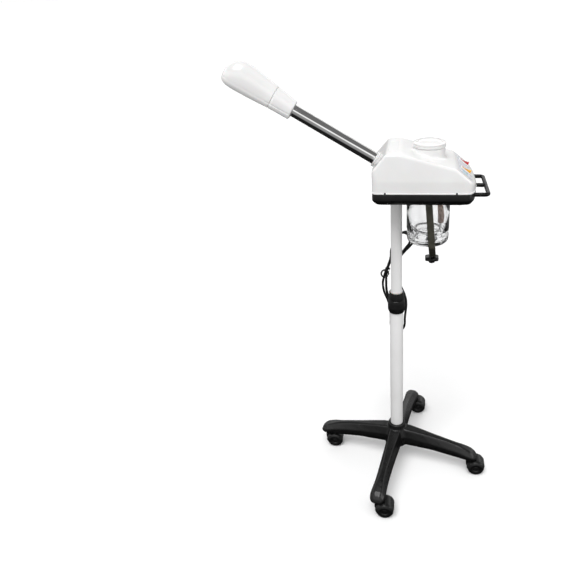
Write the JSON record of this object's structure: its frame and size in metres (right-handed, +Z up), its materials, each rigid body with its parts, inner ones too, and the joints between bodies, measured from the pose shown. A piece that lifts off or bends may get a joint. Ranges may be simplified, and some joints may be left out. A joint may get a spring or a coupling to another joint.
{
  "type": "facial steamer",
  "caption": "Facial steamer on a wheeled four-arm stand: glass water jar clamped under a white head, tilted chrome boom with a turning nozzle, sliding mast.",
  "frame": {"origin": "centre of the footprint's bounding box on the floor; the column's axis is 66.9 mm in front of it (at y = -0.0669)", "axes": "+Z up; -Y towards the user, who faces the switch panel; +Y along the boom; +X to the user's right"},
  "size_m": [0.4614, 0.6413, 1.1388],
  "materials": {
    "white_plastic": "glossy moulded ABS",
    "black_plastic": "glossy moulded nylon",
    "white_paint": "white powder coat",
    "black_paint": "black gloss enamel",
    "strap_paint": "dark grey paint, worn",
    "chrome": "polished stainless",
    "steel": "bright steel",
    "sheath_steel": "heat-tinted steel",
    "nylon": "natural nylon",
    "silicone": "translucent silicone",
    "rubber": "black rubber",
    "wheel_black": "black polyamide tread",
    "cord_pvc": "soft PVC",
    "panel_blue": "printed film",
    "amber_plastic": "translucent amber",
    "red_plastic": "translucent red",
    "jar_glass": "clear borosilicate",
    "lamp_glass": "quartz glass"
  },
  "bodies": {
    "base": {"base_star": "black_plastic", "lower_tube": "white_paint", "guide_bush": "nylon"},
    "collar": {"lock_collar": "black_plastic"},
    "mast": {"upper_tube": "white_paint", "tube_glide": "nylon"},
    "head": {"tray": "black_plastic", "cover": "white_plastic", "mast_socket": "steel", "front_handle": "black_paint", "panel_plate": "panel_blue", "lamp_switch_bezel": "white_plastic", "power_switch_bezel": "white_plastic", "boom_tube": "chrome", "boom_collar": "white_plastic", "nozzle_neck": "white_plastic", "jar_flange": "steel", "jar_gasket": "silicone", "heater_element": "steel", "heater_sheath": "sheath_steel", "steam_chamber": "steel", "steam_duct": "silicone", "lamp_holder": "nylon", "ozone_lamp": "lamp_glass", "terminal_block": "nylon", "jar_bracket": "strap_paint", "cord_gland": "rubber", "cord_lead": "cord_pvc", "cord_coil": "cord_pvc", "cord_tail": "cord_pvc", "power_plug": "cord_pvc"},
    "nozzle": {"nozzle_head": "white_plastic", "nozzle_grille": "white_plastic"},
    "cap": {"chamber_cap": "white_plastic"},
    "lamp_rocker": {"lamp_switch_rocker": "amber_plastic"},
    "power_rocker": {"power_switch_rocker": "red_plastic"},
    "clamp_foot": {"pressure_pad": "rubber"},
    "clamp_spindle": {"clamp_screw": "steel", "clamp_knob": "black_plastic"},
    "jar": {"jar": "jar_glass"},
    "castor_1": {"castor_1_stem": "steel", "castor_1_hood": "black_plastic"},
    "wheels_1": {"castor_1_axle": "steel", "castor_1_wheel_left": "wheel_black", "castor_1_wheel_right": "wheel_black"},
    "castor_2": {"castor_2_stem": "steel", "castor_2_hood": "black_plastic"},
    "wheels_2": {"castor_2_axle": "steel", "castor_2_wheel_left": "wheel_black", "castor_2_wheel_right": "wheel_black"},
    "castor_3": {"castor_3_stem": "steel", "castor_3_hood": "black_plastic"},
    "wheels_3": {"castor_3_axle": "steel", "castor_3_wheel_left": "wheel_black", "castor_3_wheel_right": "wheel_black"},
    "castor_4": {"castor_4_stem": "steel", "castor_4_hood": "black_plastic"},
    "wheels_4": {"castor_4_axle": "steel", "castor_4_wheel_left": "wheel_black", "castor_4_wheel_right": "wheel_black"}
  },
  "joints": [
    {"name": "height_slide", "type": "slide", "parent": "base", "child": "mast", "axis": [0, 0, 1], "range_m": [-0.2, 0.15]},
    {"name": "collar_twist", "type": "hinge", "parent": "base", "child": "collar", "pos_m": [0, -0.0669, 0.54], "axis": [0, 0, 1], "range_deg": [0, 90]},
    {"name": "head_swivel", "type": "hinge", "parent": "mast", "child": "head", "pos_m": [0, -0.0669, 0.84], "axis": [0, 0, 1], "continuous": true},
    {"name": "nozzle_turn", "type": "hinge", "parent": "head", "child": "nozzle", "pos_m": [0, 0.2108, 1.05604], "axis": [0, 0.8536, 0.521], "continuous": true},
    {"name": "cap_lift", "type": "slide", "parent": "head", "child": "cap", "axis": [0, 0, 1], "range_m": [0, 0.03]},
    {"name": "lamp_rocker_tilt", "type": "hinge", "parent": "head", "child": "lamp_rocker", "pos_m": [-0.033, -0.22247, 0.89551], "axis": [1, 0, 0], "range_deg": [0, 16]},
    {"name": "power_rocker_tilt", "type": "hinge", "parent": "head", "child": "power_rocker", "pos_m": [0.033, -0.22247, 0.89551], "axis": [1, 0, 0], "range_deg": [0, 16]},
    {"name": "clamp_travel", "type": "slide", "parent": "head", "child": "clamp_foot", "axis": [0, 0, -1], "range_m": [0, 0.006]},
    {"name": "clamp_turn", "type": "hinge", "parent": "clamp_foot", "child": "clamp_spindle", "pos_m": [0, -0.1549, 0.66], "axis": [0, 0, -1], "range_deg": [0, 1728]},
    {"name": "jar_drop", "type": "slide", "parent": "head", "child": "jar", "axis": [0, 0, -1], "range_m": [0, 0.006]},
    {"name": "castor_1_swivel", "type": "hinge", "parent": "base", "child": "castor_1", "pos_m": [-0.04267, -0.2766, 0.05], "axis": [0, 0, 1], "continuous": true},
    {"name": "castor_1_roll", "type": "hinge", "parent": "castor_1", "child": "wheels_1", "pos_m": [-0.04267, -0.2956, 0.0235], "axis": [1, 0, 0], "continuous": true},
    {"name": "castor_2_swivel", "type": "hinge", "parent": "base", "child": "castor_2", "pos_m": [0.2097, -0.10956, 0.05], "axis": [0, 0, 1], "continuous": true},
    {"name": "castor_2_roll", "type": "hinge", "parent": "castor_2", "child": "wheels_2", "pos_m": [0.2097, -0.12857, 0.0235], "axis": [1, 0, 0], "continuous": true},
    {"name": "castor_3_swivel", "type": "hinge", "parent": "base", "child": "castor_3", "pos_m": [0.04267, 0.1428, 0.05], "axis": [0, 0, 1], "continuous": true},
    {"name": "castor_3_roll", "type": "hinge", "parent": "castor_3", "child": "wheels_3", "pos_m": [0.04267, 0.1238, 0.0235], "axis": [1, 0, 0], "continuous": true},
    {"name": "castor_4_swivel", "type": "hinge", "parent": "base", "child": "castor_4", "pos_m": [-0.2097, -0.02423, 0.05], "axis": [0, 0, 1], "continuous": true},
    {"name": "castor_4_roll", "type": "hinge", "parent": "castor_4", "child": "wheels_4", "pos_m": [-0.2097, -0.04324, 0.0235], "axis": [1, 0, 0], "continuous": true}
  ],
  "couplings": [
    {"joint": "jar_drop", "follows": "clamp_travel", "ratio": 1},
    {"joint": "clamp_turn", "follows": "clamp_travel", "rad_per_m": 5026.5}
  ]
}
